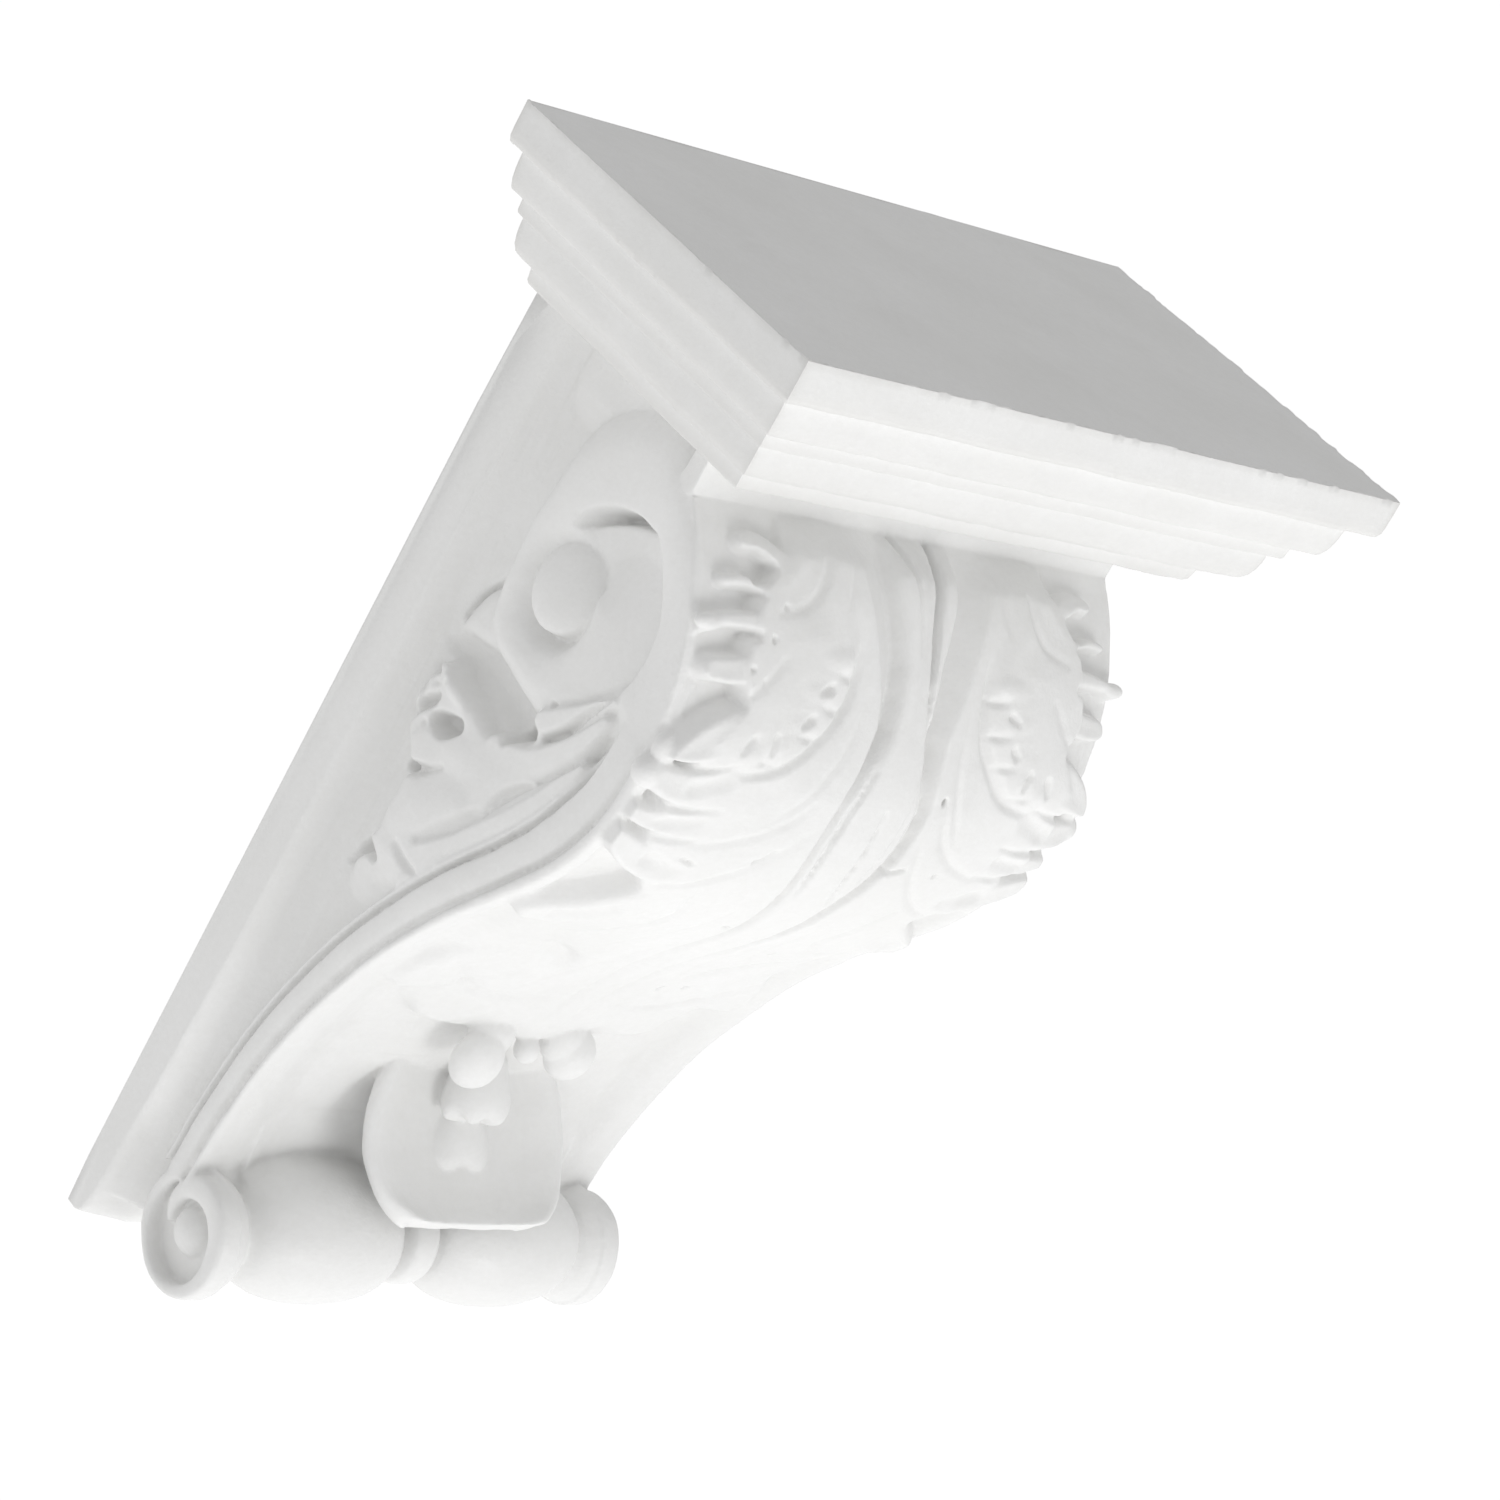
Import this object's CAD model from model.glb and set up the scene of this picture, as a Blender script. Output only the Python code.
# %% [markdown]
# # A cast plaster corbel
# A corbel stands on a wall and carries a shelf. This one is a single plaster casting: a moulded shelf, an
# S-shaped body with a scroll at each side, an acanthus leaf on its front and a turned roll at its foot. A
# plaster casting has no joints and no second material, so the whole lesson is about one skin and its light.
# The solid model gives the sizes, and this script carves the fine surface that stands for it.

# %% Load the solid model
import math

import bmesh
import bpy
import numpy as np
from mathutils import Matrix, Vector


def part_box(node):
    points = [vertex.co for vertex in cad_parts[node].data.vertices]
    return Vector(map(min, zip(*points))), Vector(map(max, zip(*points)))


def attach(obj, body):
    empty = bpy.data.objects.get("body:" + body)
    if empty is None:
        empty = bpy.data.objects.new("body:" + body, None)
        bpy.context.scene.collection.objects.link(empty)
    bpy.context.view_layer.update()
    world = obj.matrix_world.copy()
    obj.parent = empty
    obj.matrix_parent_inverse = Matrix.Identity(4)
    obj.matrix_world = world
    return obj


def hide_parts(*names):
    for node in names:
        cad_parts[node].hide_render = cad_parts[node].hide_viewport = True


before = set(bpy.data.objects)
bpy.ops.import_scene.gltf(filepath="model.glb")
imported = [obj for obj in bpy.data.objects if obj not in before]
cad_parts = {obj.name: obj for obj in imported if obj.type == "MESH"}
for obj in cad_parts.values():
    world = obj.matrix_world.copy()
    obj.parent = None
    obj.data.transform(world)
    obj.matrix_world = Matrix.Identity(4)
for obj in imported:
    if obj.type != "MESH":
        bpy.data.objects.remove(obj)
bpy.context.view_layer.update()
LOW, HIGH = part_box("corbel")
MM = 0.001
print("solid model, mm:", [round(size / MM, 1) for size in HIGH - LOW])

# %% [markdown]
# ## Sizes
# A carver works from one full-size drawing, and so does this script. The overall sizes are read from the
# solid model, and the rest are the drawing's own. Everything is in metres, apart from the marks of the
# carving, which are easier to read in millimetres and are turned into metres once.

# %% Driving sizes
SHELF_WIDTH = HIGH.x - LOW.x
SHELF_DEPTH = HIGH.y - LOW.y
SHELF_HEIGHT = 0.053
BODY_WIDTH = 0.177
FOOT_WIDTH = 0.165
NECK_DEPTH = 0.090
NECK_DROP = 0.013
WALL_HALF = 0.0775
PLATE_HALF = 0.0905
FOOT_VOLUTE_RADIUS = 0.021
ROLL_RADIUS = 0.020
TOP = HIGH.z
LINE_TOP = TOP - SHELF_HEIGHT - NECK_DROP
LINE_DROP = LINE_TOP - LOW.z - 2.10 * FOOT_VOLUTE_RADIUS
print("height of the S-line, mm:", round(LINE_DROP / MM, 1))

# %% [markdown]
# ## The camera
# The photographer looked at the corbel's front and its left side from a little above, with the corbel laid
# over in the frame. In Blender that is a plain camera that is turned about its own line of sight. A long
# lens keeps the shelf's edges nearly parallel.

# %% Set up the camera
CAMERA_PLACE = Vector((-0.86782, -0.85289, 0.47114))
CAMERA_AZIMUTH = math.radians(-48.185)
CAMERA_HEIGHT_ANGLE = math.radians(20.212)
CAMERA_ROLL = math.radians(29.371)
lens = bpy.data.cameras.new("camera")
lens.lens = 100.8
lens.sensor_width = 36
camera = bpy.data.objects.new("camera", lens)
turn = Matrix.Rotation(CAMERA_AZIMUTH, 4, "Z") @ Matrix.Rotation(math.pi / 2 - CAMERA_HEIGHT_ANGLE, 4, "X")
camera.matrix_world = Matrix.Translation(CAMERA_PLACE) @ turn @ Matrix.Rotation(CAMERA_ROLL, 4, "Z")
bpy.context.scene.collection.objects.link(camera)
bpy.context.scene.camera = camera
print("camera looks along", [round(part, 3) for part in camera.matrix_world.to_3x3() @ Vector((0, 0, -1))])

# %% [markdown]
# ## Light and floor
# White plaster shows its shape by soft shade alone. The pale floor lights it from below, the paler world
# from all round, and one soft lamp before the front makes that the brightest side, so the shelf's top is
# the darkest. The plain Standard view keeps white as white. Filmic views would turn the floor grey.

# %% Set up the light
LAMP_PLACE, LAMP_TARGET = (0.15, -1.55, -0.20), (0, -0.05, 0)
LAMP_SIZE, LAMP_POWER = 0.6, 4.8
ROOM_STRENGTH = 0.56
bpy.context.scene.view_settings.view_transform = "Standard"


def soft_light(name, place, target, size, power):
    panel = bpy.data.lights.new(name, "AREA")
    panel.shape = "DISK"
    panel.size = size
    panel.energy = power
    lamp = bpy.data.objects.new(name, panel)
    lamp.location = place
    lamp.rotation_euler = (Vector(target) - Vector(place)).to_track_quat("-Z", "Y").to_euler()
    bpy.context.scene.collection.objects.link(lamp)
    return lamp


soft_light("front_light", LAMP_PLACE, LAMP_TARGET, LAMP_SIZE, LAMP_POWER)
world = bpy.data.worlds.new("pale_room")
world.use_nodes = True
world.node_tree.nodes["Background"].inputs["Color"].default_value = (1.0, 1.0, 1.0, 1.0)
world.node_tree.nodes["Background"].inputs["Strength"].default_value = ROOM_STRENGTH
bpy.context.scene.world = world
print("lamp, watts:", LAMP_POWER, "and the room's strength:", ROOM_STRENGTH)

# %% Lay the floor
FLOOR_LEVEL = LOW.z - 0.30
PAPER_GLOW = 0.52
bpy.ops.mesh.primitive_plane_add(size=12, location=(0, 0, FLOOR_LEVEL))
floor = bpy.context.object
floor.name = "floor"
paper = bpy.data.materials.new("pale_paper")
paper.use_nodes = True
paper.node_tree.nodes["Principled BSDF"].inputs["Base Color"].default_value = (0.90, 0.90, 0.90, 1.0)
paper.node_tree.nodes["Principled BSDF"].inputs["Roughness"].default_value = 0.9
paper.node_tree.nodes["Principled BSDF"].inputs["Emission Color"].default_value = (1.0, 1.0, 1.0, 1.0)
paper.node_tree.nodes["Principled BSDF"].inputs["Emission Strength"].default_value = PAPER_GLOW
floor.data.materials.append(paper)
print("floor, mm below the foot:", round((LOW.z - FLOOR_LEVEL) / MM))

# %% [markdown]
# ## The S-line
# Seen from the side, the front follows one S: a round bulge above and a long hollow sweep below. It could
# be a Bezier curve, but arcs that meet without a corner are what a plasterer's template has, and any place
# on them is easy to work out.

# %% Trace the S-line
LINE_RUNS = ((0.3126 * math.radians(91.7), 1 / 0.3126), (0.0985, 0.0),
             (0.8405 * math.radians(35.4), -1 / 0.8405))
FIRST_HEADING = math.radians(217.3)
LINE_STEPS = 600


def trace_s_line():
    """Points of the S-line as (Y, Z), from the neck down, with equal steps."""
    whole = sum(length for length, _ in LINE_RUNS)
    heading, point, points = FIRST_HEADING, np.array([-NECK_DEPTH, LINE_TOP]), []
    points.append(point)
    for length, bend in LINE_RUNS:
        count = round(LINE_STEPS * length / whole)
        for _ in range(count):
            heading += bend * length / count / 2
            point = point + np.array([math.cos(heading), math.sin(heading)]) * length / count * LINE_DROP
            heading += bend * length / count / 2
            points.append(point)
    return np.array(points)


LINE = trace_s_line()
PLACES = np.concatenate(([0.0], np.cumsum(np.hypot(*np.diff(LINE, axis=0).T))))
DIRECTIONS = np.gradient(LINE, PLACES, axis=0)
LINE_LENGTH = PLACES[-1]
print("S-line, mm:", round(LINE_LENGTH / MM, 1))


# %% Helpers that follow the S-line
def line_at(place):
    """The S-line's points, downward directions and outward normals at places in metres along it."""
    place = np.asarray(place, float)
    held = np.clip(place, 0, LINE_LENGTH)
    point = np.stack([np.interp(held, PLACES, LINE[:, axis]) for axis in (0, 1)], -1)
    run = np.stack([np.interp(held, PLACES, DIRECTIONS[:, axis]) for axis in (0, 1)], -1)
    run = run / np.linalg.norm(run, axis=-1, keepdims=True)
    point = point + run * (place - held)[..., None]
    return point, run, np.stack([run[..., 1], -run[..., 0]], -1)


def half_width(place):
    """Half the body's width at a place down the S-line."""
    return (BODY_WIDTH + (FOOT_WIDTH - BODY_WIDTH) * np.clip(np.asarray(place) / LINE_LENGTH, 0, 1)) / 2


def on_front(across, place, rise):
    """Points of the front, from a distance across, a place down the S-line and a rise from it, in metres."""
    across, place, rise = np.broadcast_arrays(across, place, rise)
    point, _, normal = line_at(place)
    point = point + normal * rise[..., None]
    return np.stack([across, point[..., 0], point[..., 1]], -1)


print("body's width halfway down, mm:", round(2 * float(half_width(LINE_LENGTH / 2)) / MM, 1))

# %% [markdown]
# ## A box of closed shells
# Each form of the corbel is made as its own closed shell, pushed well into its neighbours. At the end one
# voxel remesh draws a single skin around all of them, which also rounds every inner corner a little, as
# plaster that comes out of a rubber mould has it. A Boolean union would keep knife-sharp seams there.

# %% Helpers that collect closed shells
shells = []


def keep(points, faces):
    """Stores a closed shell, with its points as an array and its faces as lists of point numbers."""
    shells.append((np.asarray(points, float).reshape(-1, 3), faces))


def keep_both_sides(points, faces):
    """Stores a shell and its mirror image on the other side of the corbel."""
    points = np.asarray(points, float).reshape(-1, 3)
    keep(points, faces)
    keep(points * (-1, 1, 1), [tuple(reversed(face)) for face in faces])


def grid_faces(rows, columns, first=0, closed=False):
    """Four-sided faces between rows of points, whose last column may join the first."""
    faces = []
    for row in range(rows - 1):
        for column in range(columns if closed else columns - 1):
            a, b = first + row * columns + column, first + row * columns + (column + 1) % columns
            faces.append((a, b, b + columns, a + columns))
    return faces


def loft(rings):
    """A closed shell through rings of equally many points, with a flat face at each end."""
    rings = np.asarray(rings, float)
    rows, columns = rings.shape[:2]
    faces = grid_faces(rows, columns, closed=True)
    faces.append(tuple(reversed(range(columns))))
    faces.append(tuple(range((rows - 1) * columns, rows * columns)))
    return rings.reshape(-1, 3), faces


def slab(front, back):
    """A closed shell between two grids of points of the same size."""
    rows, columns = front.shape[:2]
    count = rows * columns
    faces = grid_faces(rows, columns)
    faces += [tuple(reversed([number + count for number in face])) for face in grid_faces(rows, columns)]
    rim = [column for column in range(columns)]
    rim += [row * columns + columns - 1 for row in range(1, rows)]
    rim += [(rows - 1) * columns + column for column in range(columns - 2, -1, -1)]
    rim += [row * columns for row in range(rows - 2, 0, -1)]
    for a, b in zip(rim, rim[1:] + rim[:1]):
        faces.append((b, a, a + count, b + count))
    return np.concatenate([front.reshape(-1, 3), back.reshape(-1, 3)]), faces


print("faces of a closed grid of 3 by 4 points:", len(grid_faces(3, 4, closed=True)))

# %% Helpers for balls and soft curves
def ball(centre, radii, turns=40):
    """A ball or an egg."""
    rings = []
    for tilt in np.linspace(0.02, math.pi - 0.02, turns // 2):
        angle = np.linspace(0, 2 * math.pi, turns, endpoint=False)
        rings.append(np.stack([math.sin(tilt) * np.cos(angle), math.sin(tilt) * np.sin(angle),
                               np.full(turns, math.cos(tilt))], -1) * radii + centre)
    return loft(rings)


def smooth_path(points, steps=10):
    """A soft curve through a few rows of numbers, as a carver's pencil would join them."""
    points = np.asarray(points, float)
    padded = np.concatenate([[2 * points[0] - points[1]], points, [2 * points[-1] - points[-2]]])
    rows = []
    for a, b, c, d in zip(padded, padded[1:], padded[2:], padded[3:]):
        for t in np.linspace(0, 1, steps, endpoint=False):
            rows.append(0.5 * (2 * b + (c - a) * t + (2 * a - 5 * b + 4 * c - d) * t ** 2
                               + (3 * b - a - 3 * c + d) * t ** 3))
    rows.append(points[-1])
    return np.array(rows)


print("points of a soft curve through 3 rows:", len(smooth_path(((0, 0), (1, 2), (2, 0)))))

# %% [markdown]
# ## Carving on a sheet
# Relief is easiest to think of as a sheet of heights: each stroke of the chisel raises or sinks the sheet
# along a path. The sheet is later bent onto the corbel. A displacement map would do the same on the screen,
# but real geometry is what a printer or a mould maker needs.

# %% A sheet that can be carved
class Sheet:
    """Heights in millimetres over a flat sheet, u across and v down, which strokes raise or sink."""

    def __init__(self, u_reach, v_reach, step, level):
        self.u = np.arange(u_reach[0], u_reach[1] + step / 2, step)
        self.v = np.arange(v_reach[0], v_reach[1] + step / 2, step)
        self.step = step
        self.height = np.full((len(self.v), len(self.u)), float(level))

    def window(self, path, reach):
        low, high = path[:, :2].min(0) - reach, path[:, :2].max(0) + reach
        columns = slice(*np.searchsorted(self.u, (low[0], high[0])))
        rows = slice(*np.searchsorted(self.v, (low[1], high[1])))
        return rows, columns

    def around(self, path):
        """Near a path of (u, v, half width, more): signed distance in half widths, and the path's values."""
        path = np.asarray(path, float)
        rows, columns = self.window(path, path[:, 2].max() + 2 * self.step)
        u, v = np.meshgrid(self.u[columns], self.v[rows])
        best = np.full(u.shape, np.inf)
        side = np.ones(u.shape)
        values = np.zeros(u.shape + (path.shape[1] - 2,))
        for start, end in zip(path, path[1:]):
            run = end[:2] - start[:2]
            length = max(float(run @ run), 1e-9)
            share = np.clip(((u - start[0]) * run[0] + (v - start[1]) * run[1]) / length, 0, 1)
            du, dv = u - start[0] - share * run[0], v - start[1] - share * run[1]
            here = start[2:] + share[..., None] * (end[2:] - start[2:])
            distance = np.hypot(du, dv) / here[..., 0]
            nearer = distance < best
            best = np.where(nearer, distance, best)
            side = np.where(nearer, np.where(run[0] * dv - run[1] * du >= 0, 1.0, -1.0), side)
            values = np.where(nearer[..., None], here, values)
        return (rows, columns), best * side, values

    def raise_to(self, where, level, blend=0.6):
        """Lifts the sheet to a level with a soft meeting line."""
        old = self.height[where]
        self.height[where] = np.where(level > old - 4 * blend,
                                      (old + level + np.sqrt((old - level) ** 2 + blend ** 2)) / 2
                                      - blend / 2 * np.exp(-((old - level) / blend) ** 2 / 4), old)

    def lobe(self, points, foot=-7.0, hollow=0.3, lean=0.0, blend=0.6):
        """A leaf's lobe: raised edges round a hollow. Rows are u, v, half width and height."""
        where, q, values = self.around(smooth_path(points))
        edge = np.clip(np.abs(q), 0, 1)
        crest = values[..., 1] * (1 - hollow * (1 - edge ** 2) + lean * np.clip(q, -1, 1))
        level = foot + (crest - foot) * np.sqrt(1 - edge ** 7)
        self.raise_to(where, np.where(edge < 1, level, -99.0), blend)

    def ridge(self, points, foot=-7.0, blend=0.6):
        """A round-backed ridge. Rows are u, v, half width and height."""
        where, q, values = self.around(smooth_path(points))
        edge = np.clip(np.abs(q), 0, 1)
        level = values[..., 1] - values[..., 0] * (1 - np.sqrt(1 - edge ** 2))
        self.raise_to(where, np.where(edge < 1, level, -99.0), blend)

    def mass(self, outline, height, edge=3.0, foot=-0.5, blend=0.8):
        """A level mass with round edges inside a closed outline of (u, v)."""
        path = smooth_path(tuple(outline) + (outline[0],), 5)
        rows, columns = self.window(path, self.step)
        u, v = np.meshgrid(self.u[columns], self.v[rows])
        inside, nearest = np.zeros(u.shape, bool), np.full(u.shape, np.inf)
        for start, end in zip(path, path[1:]):
            run = end - start
            spans = (start[1] > v) != (end[1] > v)
            if run[1] != 0:
                inside ^= spans & (u < start[0] + (v - start[1]) / run[1] * run[0])
            share = np.clip(((u - start[0]) * run[0] + (v - start[1]) * run[1]) / max(run @ run, 1e-9), 0, 1)
            nearest = np.minimum(nearest, np.hypot(u - start[0] - share * run[0],
                                                   v - start[1] - share * run[1]))
        level = foot + (height - foot) * np.sqrt(1 - (1 - np.clip(nearest / edge, 0, 1)) ** 2)
        self.raise_to((rows, columns), np.where(inside, level, -99.0), blend)

    def cut(self, points, flat=0.0):
        """A groove or a pit. Rows are u, v, half width and depth, and flat widens its floor."""
        where, q, values = self.around(smooth_path(points))
        edge = np.clip((np.abs(q) - flat) / (1 - flat), 0, 1)
        self.height[where] -= values[..., 1] * (1 - edge ** 2) ** 1.5

    def lift(self, points):
        """A low soft swelling that is added to what is there. Rows are u, v, half width and height."""
        where, q, values = self.around(smooth_path(points))
        edge = np.clip(np.abs(q), 0, 1)
        self.height[where] += values[..., 1] * (1 - edge ** 2) ** 2

    def soften(self, reach):
        """Wears the sheet down a little, as a mould does."""
        count = max(1, round(2.5 * reach / self.step))
        weights = np.exp(-0.5 * (np.arange(-count, count + 1) * self.step / reach) ** 2)
        weights /= weights.sum()
        for axis in (0, 1):
            padded = np.pad(self.height, [(count, count) if a == axis else (0, 0) for a in (0, 1)],
                            mode="edge")
            self.height = sum(weight * np.take(padded, range(n, n + self.height.shape[axis]), axis=axis)
                              for n, weight in enumerate(weights))


print("heights on a sheet of 10 by 10 mm:", Sheet((0, 10), (0, 10), 0.5, 0.0).height.size)

# %% [markdown]
# ## The acanthus leaf
# The leaf springs from under the shelf, rolls over the bulge and ends in a small curled point above the
# roll. Its stem is two round ridges between deep channels. Each lobe starts beside the stem, runs down with
# its neighbours and then turns out to the rim, where its edge is curled up and undercut. Only the right
# half is carved: a plaster leaf is modelled from one half pattern, turned over for the other side. The few
# strokes that differ are cut at the end, in the sheet of both halves.

# %% Field and rim
front = Sheet((0.0, 86.5), (-4.0, 312.0), 0.5, 0.0)
across, down = np.meshgrid(front.u, front.v)
FIELD_DEPTH = 6.5
rim_face = np.interp(down, (0, 90, 306), (2.5, 3.5, 9.0))
rim_slope = np.interp(down, (0, 120, 306), (5.0, 7.0, 16.0))
from_edge = half_width(down * MM) / MM - across
slope_share = np.clip((from_edge - rim_face) / rim_slope, 0, 1)
field = FIELD_DEPTH * np.interp(down, (1, 12, 24, 34, 85, 105, 160, 290, 306),
                                (0.0, 0.15, 0.3, 1.0, 1.0, 0.55, 0.45, 0.5, 0.3))
front.height = -0.1 - field * (0.5 - 0.5 * np.cos(math.pi * slope_share))
print("field below the rim, mm:", round(-float(front.height.min()), 1))

# %% The leaf's body
BODY_SECTIONS = ((4, (29, 4), (35, 6), (43, 6.5), (49, 6), (53, 4.5), (55, 2), (58, -7)),
                 (15, (27, 6), (33, 7), (41, 7.5), (46, 6.5), (51, 7), (57, 5), (60, -7)),
                 (25, (23.5, 7), (31, 7), (40, 8.5), (52, 6.5), (60, 6.5), (66, 6), (69, -7)),
                 (35, (20.5, 7.5), (27, 6.5), (33, 8.5), (46, 9), (60, 7.5), (68, 7), (71, -7)),
                 (45, (17.5, 8), (27, 6.5), (36, 9), (48, 9), (62, 8), (70, 7.5), (73, -7)),
                 (55, (15.2, 8.5), (29, 7), (40, 9.5), (50, 9), (60, 8.8), (66, 8.5), (69, -7)),
                 (65, (16.5, 9), (34, 7.5), (44, 9.5), (54, 9.5), (64, 9.5), (74, 9), (78, -7)),
                 (76, (18.5, 10), (34, 8.5), (48, 8), (58, 8.2), (68, 7.8), (76, 7), (81, -7)),
                 (92, (18.3, 10), (32, 8.5), (44, 7.5), (56, 6.5), (68, 5.5), (76, 5), (82, -7)),
                 (108, (14.5, 9.5), (30, 8), (42, 7), (54, 6.4), (62, 5.5), (68, 4), (74, -6)),
                 (122, (12, 9), (26, 7.6), (38, 6.8), (46, 6.2), (52, 5.5), (56, 4.5), (60, -6)),
                 (145, (10, 8), (24, 7), (34, 6), (46, 5.8), (58, 5), (68, 3.5), (76, -4)),
                 (175, (9, 7), (22, 6), (32, 5.5), (44, 4.6), (56, 3.2), (66, 1), (76, -3)),
                 (205, (7, 6), (18, 5), (28, 4.5), (40, 3.6), (52, 2.4), (62, 0.5), (72, -3)),
                 (226, (5, 5.5), (14, 4.5), (22, 4), (32, 3.0), (44, 2.0), (53, 0.5), (60, -4)),
                 (236, (3.5, 4.5), (10, 3.4), (17, 2.8), (24, 2.2), (34, 1.6), (41, 0), (46, -4)),
                 (241, (2.5, 4), (4, 3), (6, 2.5), (8, 2), (10, 1), (12, -1), (14, -4)))
section_rows = np.array([row[0] for row in BODY_SECTIONS], float)
section_u = np.array([[spot[0] for spot in row[1:]] for row in BODY_SECTIONS], float)
section_h = np.array([[spot[1] for spot in row[1:]] for row in BODY_SECTIONS], float)
for number, v in enumerate(front.v):
    if v > section_rows[-1] + 3:
        break
    row_u = [np.interp(v, section_rows, section_u[:, k]) for k in range(section_u.shape[1])]
    row_h = [np.interp(v, section_rows, section_h[:, k]) for k in range(section_u.shape[1])]
    fade = np.clip((section_rows[-1] + 3 - v) / 6, 0, 1) * np.clip((v + 4) / 6, 0, 1)
    level = np.interp(front.u, row_u, row_h) * fade - 7 * (1 - fade)
    beside = np.clip((front.u - row_u[0] + 1.2) / 1.2, 0, 1)
    level = np.where(front.u < row_u[0], row_h[0] - 8 * (1 - beside ** 0.5), level)
    front.height[number] = np.maximum(front.height[number], level)
print("leaf's body, mm proud:", round(float(front.height.max()), 1))

# %% Lobes at the rim
LOBES = (((14, 190, 5, 5.6), (24, 214, 8, 4.8), (36, 227, 8, 3.8), (46, 229, 5, 2.8)),
         ((24, 156, 6, 6.2), (40, 182, 12, 5.6), (56, 200, 14, 4.2), (66, 211, 8, 2.6)),
         ((34, 108, 5, 7.6), (48, 126, 9, 7), (63, 140, 10, 6.6), (74, 146, 7, 5.4)),
         ((42, 100, 4, 7.2), (56, 110, 6, 6.6), (68, 107.5, 6.5, 6.2), (78, 103, 5.5, 6),
          (84, 99.5, 3.5, 5.4)),
         ((48, 86, 3, 7.4), (64, 91, 4.5, 6.2), (76, 92.5, 4.5, 5.4), (84, 91, 3, 4.6)),
         ((54, 76, 3.5, 8.4), (68, 79, 5.5, 7.8), (78, 79.5, 5.8, 7.4), (85, 78, 4.2, 6.4)),
         ((52, 57, 5, 9), (66, 61.5, 7.5, 9.8), (76, 65.5, 6.4, 10), (83, 69.4, 3.2, 9.6),
          (86, 71, 1.4, 8.4)),
         ((58, 43, 4, 8), (71, 46, 4.6, 7.4), (80, 46.8, 4.2, 6)),
         ((60, 33, 4, 7.4), (75, 33.8, 3.3, 7), (84.5, 35.2, 2.6, 6.6)),
         ((62, 24.5, 2.4, 6.2), (72, 23, 2.4, 5.6), (79, 23, 2.1, 4.2)),
         ((50, 28, 4, 7.4), (54, 21, 4.4, 6.6), (60, 14.5, 4.2, 6), (66, 11.2, 3.6, 5.6),
          (71.5, 11.6, 3.0, 5)))
for points in LOBES:
    front.lobe(points, hollow=0.2, lean=0.1)
print("lobes on each half:", len(LOBES))

# %% The scalloped fold
FOLD = ((34, 39), (38, 48), (42, 57), (50, 64), (58, 66.5))
front.cut(((27.5, 34, 1.2, 0.6), (27, 39, 1.6, 1.4), (27.5, 45, 1.8, 2.2), (30, 53.5, 2.0, 2.4),
           (36, 61.5, 2.0, 2.2), (46, 69.5, 2.0, 2.0), (56, 72.5, 1.6, 1.4), (62, 72, 1.0, 0.6)), flat=0.2)
for u, v in FOLD:
    front.ridge(((u, v, 4.9, 9.8), (u + 5, v + 0.2, 4.6, 9.6), (u + 11, v, 3.5, 8.8)), blend=0.9)
for u, v in ((30, 43.5), (33.5, 52.5), (39.5, 60.5), (50, 69)):
    front.cut(((u - 1.5, v, 0.9, 1.6), (u + 1.5, v, 1.0, 2.0), (u + 6, v - 0.8, 0.7, 0.6)))
print("scallops on each half:", len(FOLD))

# %% Slots, hollows and veins
SLOTS = (((62, 18, 1.6, 5), (65.5, 19.5, 2.6, 9), (68, 21, 2.0, 8)),
         ((66, 26, 0.9, 4), (71, 25.6, 1.4, 7), (76, 25.2, 1.0, 3)),
         ((67, 36.4, 1.2, 5), (75, 36.9, 1.9, 8), (80, 36.8, 1.6, 4), (83, 36.4, 0.9, 1)),
         ((70, 53.5, 1.0, 4), (77, 54.5, 2.2, 6), (83, 57.5, 2.8, 3), (86, 61, 2.0, 1)),
         ((62, 70.8, 0.6, 1.5), (72, 73.2, 0.9, 3), (80, 73.4, 1.0, 3.5), (87, 73, 0.8, 3)),
         ((58, 84.5, 0.6, 1), (68, 86.5, 0.9, 2.5), (78, 86.2, 1.0, 3), (86, 84, 0.9, 2.5)),
         ((58, 96.5, 0.8, 1.2), (70, 97.8, 1.0, 2), (82, 95.5, 1.0, 2)))
VEINS = (((42, 14, 1.8, 0.9), (44.5, 21, 2.0, 1.4), (50, 27, 1.8, 1.2), (60, 30, 1.4, 0.8)),
         ((31, 8, 1.6, 0.6), (32, 18, 1.8, 0.9), (34, 25, 1.4, 0.6)),
         ((21, 46, 1.0, 0.4), (23, 60, 1.8, 0.9), (29, 74, 1.8, 0.9), (38, 86, 1.4, 0.6)),
         ((24, 72, 1.0, 0.4), (31, 84, 1.8, 0.9), (44, 93, 1.8, 0.9), (58, 98, 1.4, 0.8)),
         ((22, 86, 1.0, 0.4), (31, 99, 1.8, 0.9), (44, 111, 1.8, 1.0), (56, 117, 1.2, 0.8)),
         ((41, 115, 1.2, 0.8), (36, 130, 1.8, 1.2), (37, 142, 2.0, 1.3), (44, 153, 1.8, 1.4),
          (54, 158.5, 1.4, 1.2)),
         ((20, 122, 1.2, 0.5), (24, 146, 2.2, 0.9), (30, 166, 2.2, 0.9)),
         ((14, 150, 1.4, 0.4), (18, 180, 2.4, 0.9), (28, 206, 2.4, 0.9)),
         ((56, 41, 1.4, 0.7), (64, 50, 1.6, 1.0), (69, 53, 1.2, 1.0)))
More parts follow.
